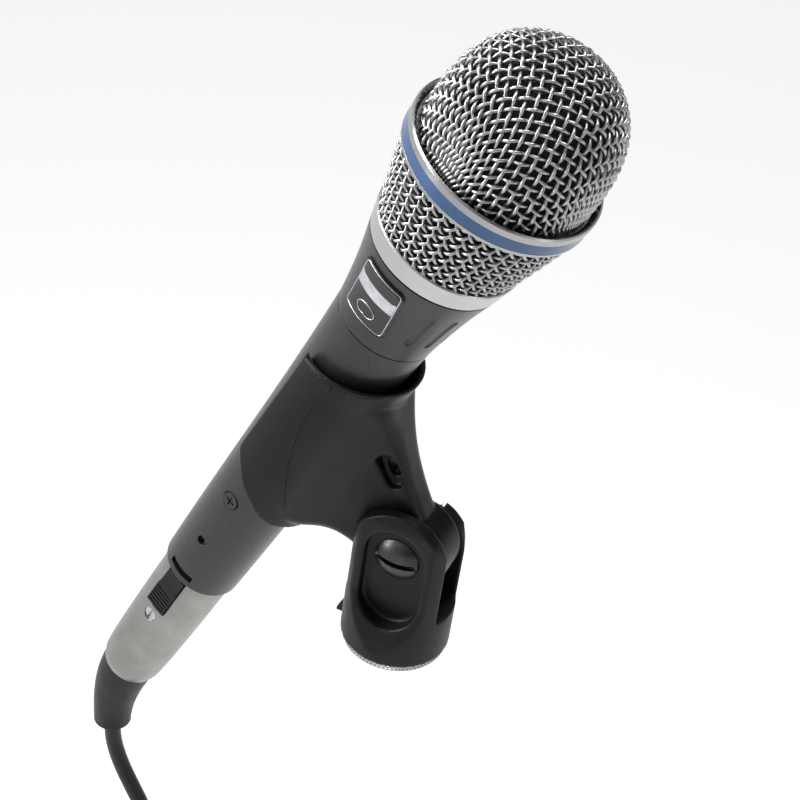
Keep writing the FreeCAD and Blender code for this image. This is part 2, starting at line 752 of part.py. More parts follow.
def make_clip_base():
    outline = box((-15, 15), (-20, 20), (1, 30.6))
    outline = outline.fuse(prism_y([(-15, 26), (15, 26), (14.0, 35.4), (-14.0, 35.4)], -20, 0))
    outline = outline.fuse(along_y(14.0, -20, 0, z=35.4))
    outline = outline.fuse(along_y(13.4, 0, 20, z=30.6))
    round_body = cylinder(BASE_R, 1.0, 50.0)
    front_points = [(-15, 1), (15, 1), (15, 5), (14.2, 9), (12.2, 14.5), (CHEEK_FACE, 21), (CHEEK_FACE, 46.5),
                    (9.4, 51), (-9.4, 51), (-CHEEK_FACE, 46.5), (-CHEEK_FACE, 21), (-12.2, 14.5), (-14.2, 9),
                    (-15, 5)]
    corners = [V(-20, y, z) for y, z in front_points]
    front = Part.Face(Part.makePolygon(corners + corners[:1])).extrude(V(40, 0, 0))
    body = round_body.common(outline).common(front)
    slot = box((-20, 20), (-CHEEK_GAP_HALF, CHEEK_GAP_HALF), (SLOT_FLOOR, 60))
    body = body.cut(slot)
    for sign in (-1, 1):
        low = min(sign * RECESS_FLOOR, sign * 20)
        recess = along_y(RECESS_R, low, low + 12, z=RECESS_LOW)
        recess = recess.fuse(along_y(RECESS_R, low, low + 12, z=RECESS_HIGH))
        recess = recess.fuse(box((-RECESS_R, RECESS_R), (low, low + 12), (RECESS_LOW, RECESS_HIGH)))
        body = body.cut(recess)
    body = body.cut(along_y(SHANK_R + 0.1, -20, 20, z=PIVOT_HEIGHT))
    body = body.cut(cylinder(INSERT_BODY_R + 0.04, -1, INSERT_TOP + 0.04))
    body = body.cut(cylinder(BASE_R + 1, -1, INSERT_FLANGE))
    nub_side = [(-14.0, INSERT_FLANGE), (-17.2, INSERT_FLANGE), (-17.2, 3.0), (-14.6, 8.0), (-14.0, 8.0)]
    nub = prism_y(nub_side, -1.6, 1.6)
    return body.fuse(nub).removeSplitter()


def make_thread_insert():
    flange = cylinder(INSERT_FLANGE_R, 0.0, INSERT_FLANGE)
    body = flange.fuse(cylinder(INSERT_BODY_R, 0, INSERT_TOP)).cut(cylinder(THREAD_R, -1, INSERT_TOP + 1))
    return body.removeSplitter()


def make_pivot_screw():
    dome = Part.makeSphere(9.6, V(0, -1.05, PIVOT_HEIGHT))
    head = dome.common(along_y(SCREW_HEAD_R, -12, -RECESS_FLOOR - 0.05, z=PIVOT_HEIGHT))
    shank = along_y(SHANK_R, -RECESS_FLOOR - 0.05, 11.6, z=PIVOT_HEIGHT)
    slot = box((-8, 8), (-12, -8.5), (-0.8, 0.8))
    slot.translate(V(0, 0, PIVOT_HEIGHT))
    return head.fuse(shank).cut(slot).removeSplitter()


def make_pivot_nut():
    corners = []
    for step in range(6):
        angle = math.pi / 3 * step
        corners.append(V(5.8 * math.cos(angle), RECESS_FLOOR + 0.05, PIVOT_HEIGHT + 5.8 * math.sin(angle)))
    nut = Part.Face(Part.makePolygon(corners + corners[:1])).extrude(V(0, 2.9, 0))
    return nut.cut(along_y(SHANK_R, 0, 20, z=PIVOT_HEIGHT))


def make_friction_washers():
    washers = []
    for low in (-CHEEK_GAP_HALF + 0.02, BOSS_HALF + 0.15):
        ring = along_y(9.5, low, low + 0.72, z=PIVOT_HEIGHT)
        washers.append(ring.cut(along_y(SHANK_R + 0.05, -20, 20, z=PIVOT_HEIGHT)))
    return Part.makeCompound(washers)


MIC_PARTS = {
    "handle_shell": make_handle_shell,
    "head_housing": make_head_housing,
    "badge_plate": make_badge_plate,
    "badge_field": make_badge_field,
    "handle_screw": make_handle_screw,
    "clamp_screw": make_clamp_screw,
    "grille_collar": make_grille_collar,
    "lower_grille": make_lower_grille,
    "band_lip": make_band_lip,
    "blue_band": make_band,
    "dome_rim": make_dome_rim,
    "dome_grille": make_dome_grille,
    "foam_liner": make_foam_liner,
    "capsule_housing": make_capsule_housing,
    "capsule_grid": make_capsule_grid,
    "diaphragm": make_diaphragm,
    "diaphragm_ring": make_diaphragm_ring,
    "backplate": make_backplate,
    "backplate_insulator": make_backplate_insulator,
    "shock_mount": make_shock_mount,
    "capsule_carrier": make_capsule_carrier,
    "carrier_ring": make_carrier_ring,
    "capsule_leads": make_capsule_leads,
    "preamp_board": make_preamp_board,
    "transistors": make_transistors,
    "capacitors": make_capacitors,
    "board_chips": make_board_chips,
    "board_leads": make_board_leads,
    "socket_insert": make_socket_insert,
    "contact_pins": make_contact_pins,
    "plug_shell": make_plug_shell,
    "plug_insulator": make_plug_insulator,
    "plug_sockets": make_plug_sockets,
    "plug_latch": make_plug_latch,
    "latch_pin": make_latch_pin,
    "latch_spring": make_latch_spring,
    "plug_screw": make_plug_screw,
    "cable_clamp": make_cable_clamp,
    "cable_core": make_cable_core,
}
ROW_PARTS = {
    "strain_boot": make_strain_boot,
    "cable": lambda: cord_tube(cable_route()),
    "cable_coil": make_cable_coil,
    "cable_tail": lambda: cord_tube(tail_route()),
    "cable_tie": make_cable_tie,
    "clip_base": make_clip_base,
    "thread_insert": make_thread_insert,
    "pivot_screw": make_pivot_screw,
    "pivot_nut": make_pivot_nut,
    "friction_washers": make_friction_washers,
    "clip_cradle": lambda: in_clip(make_clip_cradle()),
}
FAR_PARTS = {
    "far_boot": make_far_boot,
    "far_shell": make_far_shell,
    "far_insulator": make_far_insulator,
    "far_pins": make_far_pins,
    "far_screw": make_far_screw,
}


def main():
    os.makedirs("parts", exist_ok=True)
    shapes = {name: in_mic(make()) for name, make in MIC_PARTS.items()}
    shapes.update({name: far_frame(make()) for name, make in FAR_PARTS.items()})
    shapes.update({name: make() for name, make in ROW_PARTS.items()})
    for name, shape in shapes.items():
        print(name, "valid", shape.isValid(), "solids", len(shape.Solids), "volume %.1f" % shape.Volume)
        shape.exportStep("parts/%s.step" % name)


main()
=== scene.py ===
"""Looks of the handheld vocal microphone in its stand clip. Metres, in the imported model's row frame.

mm numbers are the part's own dimensions; MIC and CLIP carry a point of the microphone's and the clip's own
frames (z along the microphone from the handle's cable end, -y towards the badge) to the row frame.
"""
import math

import bpy
from mathutils import Matrix, Vector
from mathutils.bvhtree import BVHTree


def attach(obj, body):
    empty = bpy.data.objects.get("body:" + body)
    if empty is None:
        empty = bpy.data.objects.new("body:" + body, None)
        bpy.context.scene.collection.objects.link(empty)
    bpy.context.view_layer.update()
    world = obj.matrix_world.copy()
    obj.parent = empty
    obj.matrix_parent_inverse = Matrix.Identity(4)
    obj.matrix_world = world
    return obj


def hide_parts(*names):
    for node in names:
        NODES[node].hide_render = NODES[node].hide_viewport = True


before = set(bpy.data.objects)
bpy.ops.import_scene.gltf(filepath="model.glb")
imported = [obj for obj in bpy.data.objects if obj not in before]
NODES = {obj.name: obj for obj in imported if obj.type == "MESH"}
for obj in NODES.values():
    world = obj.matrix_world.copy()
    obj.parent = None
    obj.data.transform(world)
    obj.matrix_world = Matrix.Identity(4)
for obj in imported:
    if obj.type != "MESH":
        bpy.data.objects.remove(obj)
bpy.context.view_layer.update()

MM = 0.001

TILT = math.radians(22.6)
ROLL = math.radians(-18.5)
PIVOT_HEIGHT = 34.0
PIVOT_OFFSET = 40.4
PIVOT_STATION = 56.4
HANDLE_END = Vector((
    -PIVOT_OFFSET * math.cos(TILT) - PIVOT_STATION * math.sin(TILT),
    0.0,
    PIVOT_HEIGHT + PIVOT_OFFSET * math.sin(TILT) - PIVOT_STATION * math.cos(TILT),
))
ROW = Matrix.Identity(4)
CLIP = Matrix.Translation(HANDLE_END) @ Matrix.Rotation(TILT, 4, "Y")
MIC = CLIP @ Matrix.Rotation(ROLL, 4, "Z")
MIC_AXIS = Vector((math.sin(TILT), 0.0, math.cos(TILT)))

# ---- camera ----

camera_data = bpy.data.cameras.new("camera")
camera_data.lens = 103.5
camera_data.sensor_width = 36.0
camera_data.clip_start = 0.02
camera_data.clip_end = 20.0
camera = bpy.data.objects.new("camera", camera_data)
camera.matrix_world = Matrix((
    (0.90023, -0.34943, 0.25979, 0.14286),
    (0.41715, 0.52108, -0.74463, -0.43518),
    (0.12483, 0.7787, 0.61485, 0.43771),
    (0.0, 0.0, 0.0, 1.0),
))
bpy.context.collection.objects.link(camera)
bpy.context.scene.camera = camera


# ---- materials ----

class Shader:
    """A principled material under construction."""

    def __init__(self, name, color, rough, metallic=0.0, **sockets):
        self.material = bpy.data.materials.new(name)
        self.material.use_nodes = True
        self.tree = self.material.node_tree
        self.main = self.tree.nodes["Principled BSDF"]
        self.main.inputs["Base Color"].default_value = (*color, 1.0)
        self.main.inputs["Roughness"].default_value = rough
        self.main.inputs["Metallic"].default_value = metallic
        for socket, value in sockets.items():
            self.main.inputs[socket.replace("_", " ")].default_value = value
        self.place = self.node("ShaderNodeTexCoord").outputs["Object"]
        self.normal = None

    def node(self, kind, **settings):
        made = self.tree.nodes.new(kind)
        for name, value in settings.items():
            setattr(made, name, value)
        return made

    def link(self, source, target):
        self.tree.links.new(source, target)

    def noise(self, scale, detail=3.0, place=None, roughness=0.55):
        made = self.node("ShaderNodeTexNoise")
        made.inputs["Scale"].default_value = scale
        made.inputs["Detail"].default_value = detail
        made.inputs["Roughness"].default_value = roughness
        self.link(place or self.place, made.inputs["Vector"])
        return made.outputs["Fac"]

    def along(self, axis):
        """Distance along an axis, as the only coordinate of a texture."""
        made = self.node("ShaderNodeVectorMath", operation="DOT_PRODUCT")
        self.link(self.place, made.inputs[0])
        made.inputs[1].default_value = axis
        joined = self.node("ShaderNodeCombineXYZ")
        self.link(made.outputs["Value"], joined.inputs["Z"])
        return joined.outputs["Vector"]

    def vary_rough(self, source, low, high):
        made = self.node("ShaderNodeMapRange")
        made.inputs["From Min"].default_value = 0.3
        made.inputs["From Max"].default_value = 0.7
        made.inputs["To Min"].default_value = low
        made.inputs["To Max"].default_value = high
        self.link(source, made.inputs["Value"])
        self.link(made.outputs["Result"], self.main.inputs["Roughness"])

    def vary_color(self, source, dark, light, low=0.35, high=0.65):
        made = self.node("ShaderNodeValToRGB")
        made.color_ramp.elements[0].position = low
        made.color_ramp.elements[0].color = (*dark, 1.0)
        made.color_ramp.elements[1].position = high
        made.color_ramp.elements[1].color = (*light, 1.0)
        self.link(source, made.inputs["Fac"])
        self.link(made.outputs["Color"], self.main.inputs["Base Color"])

    def round_edges(self, radius_mm):
        made = self.node("ShaderNodeBevel", samples=4)
        made.inputs["Radius"].default_value = radius_mm * MM
        self.normal = made.outputs["Normal"]
        self.link(self.normal, self.main.inputs["Normal"])

    def bump(self, source, height_mm, strength=1.0):
        made = self.node("ShaderNodeBump")
        made.inputs["Strength"].default_value = strength
        made.inputs["Distance"].default_value = height_mm * MM
        self.link(source, made.inputs["Height"])
        if self.normal is not None:
            self.link(self.normal, made.inputs["Normal"])
        self.normal = made.outputs["Normal"]
        self.link(self.normal, self.main.inputs["Normal"])


def enamel():
    s = Shader("enamel", (0.046, 0.046, 0.05), 0.34, 0.7, Coat_Weight=0.1, Coat_Roughness=0.3)
    grain = s.noise(2600, 2.0)
    s.vary_color(grain, (0.036, 0.036, 0.039), (0.052, 0.052, 0.056))
    s.vary_rough(s.noise(900, 4.0), 0.3, 0.38)
    s.round_edges(0.25)
    s.bump(grain, 0.02, 0.5)
    return s.material


def turned_metal(name, color, rough, rings=3500, grain=0.012):
    s = Shader(name, color, rough, 1.0)
    ring = s.noise(rings, 2.0, s.along(MIC_AXIS))
    s.vary_rough(s.noise(700, 3.0), rough - 0.04, rough + 0.06)
    s.round_edges(0.2)
    s.bump(ring, grain, 0.5)
    return s.material


def wire_metal():
    s = Shader("wire", (0.44, 0.44, 0.45), 0.3, 1.0)
    spots = s.noise(450, 4.0)
    s.vary_color(spots, (0.38, 0.38, 0.39), (0.5, 0.5, 0.505))
    s.vary_rough(s.noise(1500, 3.0), 0.24, 0.38)
    s.bump(s.noise(5200, 2.0), 0.006, 0.6)
    return s.material


def blue_enamel():
    s = Shader("blue_enamel", (0.042, 0.1, 0.235), 0.34, 0.45, Coat_Weight=0.5, Coat_Roughness=0.16)
    flakes = s.noise(3200, 2.0)
    s.vary_color(flakes, (0.03, 0.075, 0.175), (0.042, 0.102, 0.232))
    s.vary_rough(s.noise(1200, 3.0), 0.3, 0.4)
    s.bump(s.noise(1800, 2.0, s.along(MIC_AXIS)), 0.006, 0.5)
    return s.material


def foam():
    s = Shader("foam", (0.008, 0.008, 0.009), 0.95)
    cells = s.node("ShaderNodeTexVoronoi")
    cells.inputs["Scale"].default_value = 1300
    s.link(s.place, cells.inputs["Vector"])
    s.vary_color(cells.outputs["Distance"], (0.003, 0.003, 0.0035), (0.02, 0.02, 0.022), 0.1, 0.7)
    s.bump(cells.outputs["Distance"], 0.3)
    return s.material


def black_plastic(name, rough=0.36, grain=0.012, grain_scale=1500, tone=0.0045, edge=0.5):
    s = Shader(name, (tone, tone, tone * 1.06), rough, 0.0, Specular_IOR_Level=0.22)
    s.vary_color(s.noise(60, 4.0), (tone * 0.8, tone * 0.8, tone * 0.86),
                 (tone * 1.3, tone * 1.3, tone * 1.38))
    s.vary_rough(s.noise(240, 5.0), rough - 0.04, rough + 0.08)
    s.round_edges(edge)
    s.bump(s.noise(grain_scale, 3.0), grain, 0.7)
    return s.material


def nickel():
    s = Shader("satin_nickel", (0.29, 0.282, 0.27), 0.36, 1.0)
    blast = s.noise(3000, 2.0)
    s.vary_color(s.noise(140, 4.0), (0.26, 0.253, 0.243), (0.32, 0.311, 0.298))
    s.vary_rough(blast, 0.3, 0.42)
    s.round_edges(0.3)
    s.bump(blast, 0.012, 0.6)
    return s.material


def rubber(name, tone, rough, grain_scale=1400):
    s = Shader(name, (tone, tone, tone), rough, 0.0, Specular_IOR_Level=0.22)
    s.vary_rough(s.noise(300, 4.0), rough - 0.05, rough + 0.08)
    s.round_edges(0.4)
    s.bump(s.noise(grain_scale, 3.0), 0.02, 0.6)
    return s.material


def cable_jacket():
    s = Shader("cable_jacket", (0.007, 0.007, 0.0073), 0.38, 0.0, Specular_IOR_Level=0.35)
    s.vary_rough(s.noise(180, 4.0), 0.33, 0.46)
    s.bump(s.noise(420, 3.0), 0.05, 0.5)
    return s.material


def plain_metal(name, color, rough, scale=1400):
    s = Shader(name, color, rough, 1.0)
    light = tuple(min(1.0, part * 1.12) for part in color)
    dark = tuple(part * 0.88 for part in color)
    s.vary_color(s.noise(scale * 0.2, 4.0), dark, light)
    s.vary_rough(s.noise(scale, 3.0), rough - 0.06, rough + 0.08)
    s.round_edges(0.12)
    s.bump(s.noise(scale * 2.5, 2.0), 0.008, 0.5)
    return s.material


def plain_plastic(name, color, rough, scale=900):
    s = Shader(name, color, rough)
    light = tuple(part * 1.15 for part in color)
    dark = tuple(part * 0.87 for part in color)
    s.vary_color(s.noise(scale * 0.3, 4.0), dark, light)
    s.vary_rough(s.noise(scale, 3.0), rough - 0.06, rough + 0.08)
    s.bump(s.noise(scale * 2.0, 2.0), 0.01, 0.5)
    return s.material


def hook_and_loop():
    s = Shader("hook_and_loop", (0.016, 0.016, 0.018), 0.9, 0.0, Sheen_Weight=0.4)
    weave = s.noise(2400, 3.0)
    s.vary_color(weave, (0.008, 0.008, 0.009), (0.03, 0.03, 0.034))
    s.bump(weave, 0.15, 0.9)
    return s.material


def circuit_board():
    s = Shader("circuit_board", (0.015, 0.09, 0.045), 0.35, 0.0, Coat_Weight=0.4)
    tracks = s.node("ShaderNodeTexWave", wave_profile="SAW")
    tracks.inputs["Scale"].default_value = 160
    tracks.inputs["Distortion"].default_value = 3.0
    s.link(s.place, tracks.inputs["Vector"])
    s.vary_color(tracks.outputs["Fac"], (0.01, 0.07, 0.035), (0.03, 0.14, 0.07), 0.45, 0.55)
    s.bump(tracks.outputs["Fac"], 0.02, 0.5)
    return s.material


ENAMEL = enamel()
SATIN = turned_metal("satin_silver", (0.5, 0.5, 0.51), 0.34)
RIM = turned_metal("rim_silver", (0.4, 0.4, 0.41), 0.26)
WIRE = wire_metal()
BLUE = blue_enamel()
FOAM = foam()
CLIP_PLASTIC = black_plastic("clip_plastic")
BASE_PLASTIC = black_plastic("base_plastic", 0.4, 0.03, 1100)
LATCH_PLASTIC = black_plastic("latch_plastic", 0.42, 0.02, 1700, 0.009, 0.15)
DARK_PLASTIC = black_plastic("dark_plastic", 0.5, 0.02, 1300, 0.014, 0.15)
NICKEL = nickel()
BOOT = rubber("boot_rubber", 0.008, 0.42)
SOFT_RUBBER = rubber("soft_rubber", 0.03, 0.6)
JACKET = cable_jacket()
STEEL = plain_metal("steel", (0.58, 0.58, 0.6), 0.32)
DARK_STEEL = plain_metal("dark_steel", (0.07, 0.07, 0.075), 0.32)
ALUMINIUM = plain_metal("aluminium", (0.72, 0.73, 0.75), 0.36)
GOLD = plain_metal("gold_plate", (0.85, 0.66, 0.3), 0.25)
BRASS = plain_metal("knurled_metal", (0.42, 0.42, 0.43), 0.3)
FILM = plain_metal("metal_film", (0.8, 0.7, 0.42), 0.18)
BADGE_BLACK = plain_plastic("badge_black", (0.012, 0.012, 0.014), 0.3)
BADGE_LIGHT = plain_metal("badge_light", (0.6, 0.6, 0.63), 0.4)
WHITE_PLASTIC = plain_plastic("white_plastic", (0.7, 0.7, 0.68), 0.45)
SLEEVE = plain_plastic("capacitor_sleeve", (0.05, 0.06, 0.16), 0.35)
RED_WIRE = plain_plastic("wire_insulation", (0.3, 0.02, 0.02), 0.45)
TIE = hook_and_loop()
BOARD = circuit_board()

FINISHES = {
    ENAMEL: ["handle_shell", "head_housing"],
    SATIN: ["grille_collar"],
    RIM: ["dome_rim", "band_lip"],
    BLUE: ["blue_band"],
    FOAM: ["foam_liner"],
    WIRE: ["dome_grille", "lower_grille"],
    CLIP_PLASTIC: ["clip_cradle"],
    BASE_PLASTIC: ["clip_base"],
    LATCH_PLASTIC: ["plug_latch"],
    DARK_PLASTIC: ["capsule_carrier", "socket_insert", "plug_insulator", "far_insulator", "cable_clamp",
                   "friction_washers", "transistors", "board_chips"],
    NICKEL: ["plug_shell", "far_shell"],
    BOOT: ["strain_boot", "far_boot"],
    SOFT_RUBBER: ["shock_mount", "carrier_ring"],
    JACKET: ["cable", "cable_coil", "cable_tail", "cable_core"],
    STEEL: ["plug_screw", "far_screw", "latch_pin", "latch_spring", "pivot_nut"],
    DARK_STEEL: ["pivot_screw", "handle_screw", "clamp_screw"],
    ALUMINIUM: ["capsule_housing", "capsule_grid", "backplate", "diaphragm_ring"],
    GOLD: ["contact_pins", "plug_sockets", "far_pins"],
    BRASS: ["thread_insert"],
    FILM: ["diaphragm"],
    BADGE_BLACK: ["badge_field", "badge_plate"],
    WHITE_PLASTIC: ["backplate_insulator"],
    SLEEVE: ["capacitors"],
    RED_WIRE: ["capsule_leads", "board_leads"],
    TIE: ["cable_tie"],
    BOARD: ["preamp_board"],
}
for finish, names in FINISHES.items():
    for name in names:
        for slot in NODES[name].material_slots:
            slot.material = finish


# ---- making pieces ----

def finish_piece(obj, material, body):
    obj.data.materials.append(material)
    bpy.context.collection.objects.link(obj)
    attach(obj, body)
    return obj


def mesh_piece(name, verts, faces, matrix, material, body, smooth=True):
    """A mesh from points in mm in one of the part's own frames."""
    mesh = bpy.data.meshes.new(name)
    mesh.from_pydata([(matrix @ Vector(v)) * MM for v in verts], [], faces)
    mesh.validate()
    if smooth:
        mesh.polygons.foreach_set("use_smooth", [True] * len(mesh.polygons))
    return finish_piece(bpy.data.objects.new(name, mesh), material, body)


def add_tube(verts, faces, path, radius, sides, closed=False):
    """Round wire along a path of points."""
    start = len(verts)
    count = len(path)
    side = None
    for index, here in enumerate(path):
        ahead = path[(index + 1) % count] if closed or index + 1 < count else here
        back = path[index - 1] if closed or index else here
        tangent = (ahead - back).normalized()
        if side is None:
            side = tangent.orthogonal().normalized()
        side = (side - tangent * side.dot(tangent)).normalized()
        other = tangent.cross(side)
        for step in range(sides):
            angle = 2 * math.pi * step / sides
            verts.append(here + side * (radius * math.cos(angle)) + other * (radius * math.sin(angle)))
    rings = count if closed else count - 1
    for ring in range(rings):
        low = start + ring * sides
        high = start + ((ring + 1) % count) * sides
        for step in range(sides):
            after = (step + 1) % sides
            faces.append((low + step, low + after, high + after, high + step))
    if not closed:
        faces.append(tuple(start + step for step in range(sides))[::-1])
        faces.append(tuple(start + (count - 1) * sides + step for step in range(sides)))


def smooth_path(points, steps):
    """Catmull-Rom curve through points."""
    path = []
    padded = [points[0] * 2 - points[1]] + points + [points[-1] * 2 - points[-2]]
    for a, b, c, d in zip(padded, padded[1:], padded[2:], padded[3:]):
        for step in range(steps):
            t = step / steps
            path.append((b * 2 + (c - a) * t + (a * 2 - b * 5 + c * 4 - d) * t * t
                         + (b * 3 - a - c * 3 + d) * t ** 3) * 0.5)
    path.append(points[-1])
    return path


# ---- the lead: one curve from the boot to the far connector ----

COIL_CENTRE = Vector((-100.2, 8.25, -203.0))
COIL_R = 30.0
COIL_TURNS = 15
COIL_ROW = 5.5
COIL_STEP = 6.5
COIL_COLUMNS = 4
CABLE_D = 5.0
CABLE_ENTRY_X = -61.2
TAIL_Y = COIL_CENTRE.y + 1.5 * COIL_ROW
PLUG_END = -53.4
BOOT_LENGTH = 28.3
BOOT_BEND = math.radians(25.0)


def boot_end():
    """Tip and direction of the drooping boot."""
    steps = 6
    place = HANDLE_END + MIC_AXIS * PLUG_END
    for step in range(steps):
        lean = TILT - BOOT_BEND * (step + 0.5) / steps
        place = place + Vector((-math.sin(lean), 0, -math.cos(lean))) * (BOOT_LENGTH / steps)
    lean = TILT - BOOT_BEND
    return place, Vector((-math.sin(lean), 0, -math.cos(lean)))


def coil_place(along):
    """(radius, y) of the turns' section after a distance: columns joined by half circles."""
    bends = (COIL_COLUMNS - 1) * math.pi * COIL_ROW / 2
    run = (COIL_TURNS * COIL_STEP - bends) / COIL_COLUMNS
    column, rest = divmod(along, run + math.pi * COIL_ROW / 2)
    column = min(int(column), COIL_COLUMNS - 1)
    rest = along - column * (run + math.pi * COIL_ROW / 2)
    inward = 1 if column % 2 == 0 else -1
    y = COIL_CENTRE.y + (column - 1.5) * COIL_ROW
    start = COIL_R + inward * run / 2
    if rest <= run:
        return start - inward * rest, y
    angle = (rest - run) / (COIL_ROW / 2)
    bulge = math.sin(angle) * COIL_ROW / 2
    return start - inward * (run + bulge), y + (1 - math.cos(angle)) * COIL_ROW / 2


def lead_points():
    exit_place, direction = boot_end()
    points = [exit_place, exit_place + direction * 6.0]
    for x, z in ((-82.8, -91.7), (-80.3, -97.9), (-76.7, -104.5), (-72.3, -111.8), (-68.2, -120.9),
                 (-64.9, -132.5), (-62.7, -146.3), (-61.6, -162.8), (CABLE_ENTRY_X, -182.8)):
        points.append(Vector((x, 0.0, z)))
    per_turn = 16
    for step in range(COIL_TURNS * per_turn + 1):
        angle = 2 * math.pi * step / per_turn
        radius, y = coil_place(COIL_TURNS * COIL_STEP * step / (COIL_TURNS * per_turn))
        grown = radius / math.cos(math.pi / per_turn) ** 0.5
        x = COIL_CENTRE.x + grown * math.cos(angle)
        points.append(Vector((x, y, COIL_CENTRE.z - grown * math.sin(angle))))
    for drop, lean in ((15.0, 0.0), (33.0, 1.5), (51.0, 1.5)):
        points.append(Vector((CABLE_ENTRY_X - lean, TAIL_Y, COIL_CENTRE.z - drop)))
    return points


lead_data = bpy.data.curves.new("lead", "CURVE")
lead_data.dimensions = "3D"
lead_data.bevel_depth = CABLE_D / 2 * MM
lead_data.bevel_resolution = 5
lead_data.resolution_u = 4
lead_data.use_fill_caps = True
spline = lead_data.splines.new("NURBS")
route = lead_points()
spline.points.add(len(route) - 1)
for point, place in zip(spline.points, route):
    point.co = (*(place * MM), 1.0)
spline.order_u = 3
spline.use_endpoint_u = True
lead = finish_piece(bpy.data.objects.new("lead", lead_data), JACKET, "plug")
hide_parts("cable", "cable_coil", "cable_tail")



# ---- woven wire: the dome, a flat cloth drawn over it without stretching ----

WIRE_R = 0.43
PITCH = 2.5
DOME_MID_R = 23.35 - 2 * WIRE_R
DOME_MID_HEIGHT = 27.2 - 2 * WIRE_R
DOME_SPRING = 172.9 + 5.0
DOME_POWER = 2.5
CLOTH_TURN = math.radians(24.0)
NET_REACH = 20


def dome_level(point):
    """Negative inside the dome's middle surface, positive outside."""
    flat = math.hypot(point.x, point.y) / DOME_MID_R
    rise = max(point.z - DOME_SPRING, 0.0) / DOME_MID_HEIGHT
    return flat ** DOME_POWER + rise ** DOME_POWER - 1.0


def dome_normal(point):
    flat = max(math.hypot(point.x, point.y), 1e-6)
    rise = max(point.z - DOME_SPRING, 0.0) / DOME_MID_HEIGHT
    slope = (flat / DOME_MID_R) ** (DOME_POWER - 1) / DOME_MID_R
    lift = rise ** (DOME_POWER - 1) / DOME_MID_HEIGHT
    return Vector((point.x / flat * slope, point.y / flat * slope, lift)).normalized()


def on_dome(point):
    """Nearest place on the dome along its normal."""
    for _ in range(12):
        normal = dome_normal(point)
        nudge = 0.01
        gradient = (dome_level(point + normal * nudge) - dome_level(point - normal * nudge)) / (2 * nudge)
        point = point - normal * (dome_level(point) / max(gradient, 1e-3)) * 0.8
    return point


def next_on_line(before, here):
    """The point one pitch further along a geodesic."""
    return step_to(here, (here - before).normalized())


def step_to(here, direction):
    guess = here + direction * PITCH
    for _ in range(4):
        guess = on_dome(guess)
        guess = here + (guess - here).normalized() * PITCH
    return on_dome(guess)


def corner_of(first, second, behind):
    """The point one pitch from two neighbours, on the far side from the point behind them."""
    middle = (first + second) / 2
    half = (first - second).length / 2
    if half > PITCH * 0.985:
        return on_dome(first + second - behind)
    axis = (first - second).normalized()
    ahead = middle - behind
    ahead = (ahead - axis * ahead.dot(axis)).normalized()
    up = axis.cross(ahead)
    if up.dot(dome_normal(middle)) < 0:
        up = -up
    reach = math.sqrt(PITCH ** 2 - half ** 2)
    low, high = -1.5, 1.5

    def at(angle):
        return middle + ahead * (reach * math.cos(angle)) + up * (reach * math.sin(angle))

    for _ in range(30):
        angle = (low + high) / 2
        if dome_level(at(angle)) > 0:
            high = angle
        else:
            low = angle
    return at((low + high) / 2)


def dome_net():
    apex = Vector((0, 0, DOME_SPRING + DOME_MID_HEIGHT))
    net = {(0, 0): apex}
    for quarter in range(4):
        turn = CLOTH_TURN + quarter * math.pi / 2
        direction = Vector((math.cos(turn), math.sin(turn), 0))
        line = [apex, step_to(apex, direction)]
        while len(line) <= NET_REACH:
            line.append(next_on_line(line[-2], line[-1]))
        cell = ((1, 0), (0, 1), (-1, 0), (0, -1))[quarter]
        for step, place in enumerate(line):
            net[cell[0] * step, cell[1] * step] = place
    for sx, sy in ((1, 1), (-1, 1), (-1, -1), (1, -1)):
        for i in range(1, NET_REACH + 1):
            for j in range(1, NET_REACH + 1):
                first = net.get((sx * (i - 1), sy * j))
                second = net.get((sx * i, sy * (j - 1)))
                behind = net.get((sx * (i - 1), sy * (j - 1)))
                if first is None or second is None or behind is None:
                    continue
                if min(first.z, second.z) < 172.0 - PITCH:
                    continue
                net[sx * i, sy * j] = corner_of(first, second, behind)
    return net


def woven(name, lines, normal_of, low, high, matrix, node):
    """Round wires through lines of crossings, over and under in turn, kept between two heights."""
    verts, faces = [], []
    steps = 6
    for crossings, parity in lines:
        path = smooth_path(crossings, steps)
        kept = []
        for index, place in enumerate(path):
            if not low <= place.z <= high:
                if len(kept) > 3:
                    add_tube(verts, faces, kept, WIRE_R, 8)
                kept = []
                continue
            wave = math.cos(math.pi * index / steps) * (-1) ** parity
            wave *= 1.06
            kept.append(place + normal_of(place) * (wave * WIRE_R))
        if len(kept) > 3:
            add_tube(verts, faces, kept, WIRE_R, 8)
    cloth = mesh_piece(name, verts, faces, matrix, WIRE, "grille")
    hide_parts(node)
    return cloth


def net_lines(net):
    lines = []
    for fixed in range(-NET_REACH, NET_REACH + 1):
        for swap in (False, True):
            run = []
            for moving in range(-NET_REACH, NET_REACH + 1):
                key = (moving, fixed) if swap else (fixed, moving)
                if key in net:
                    run.append((moving, net[key]))
            if len(run) > 3:
                parity = (run[0][0] + fixed + (1 if swap else 0)) % 2
                lines.append(([place for _, place in run], parity))
    return lines


woven("dome_cloth", net_lines(dome_net()), dome_normal, 173.1, 300.0, CLIP, "dome_grille")

# ---- woven wire: the lower cone, cloth cut on the bias ----

LOWER = [(19.55, 146.4), (20.75, 150.6), (22.1, 156.0), (23.25, 160.8), (24.2, 165.0), (24.75, 168.1)]
AROUND = 42
CONE_PITCH = 2.35


def lower_radius(z):
    z = min(max(z, LOWER[0][1]), LOWER[-1][1])
    for (r0, z0), (r1, z1) in zip(LOWER, LOWER[1:]):
        if z <= z1:
            return r0 + (r1 - r0) * (z - z0) / (z1 - z0)
    return LOWER[-1][0]


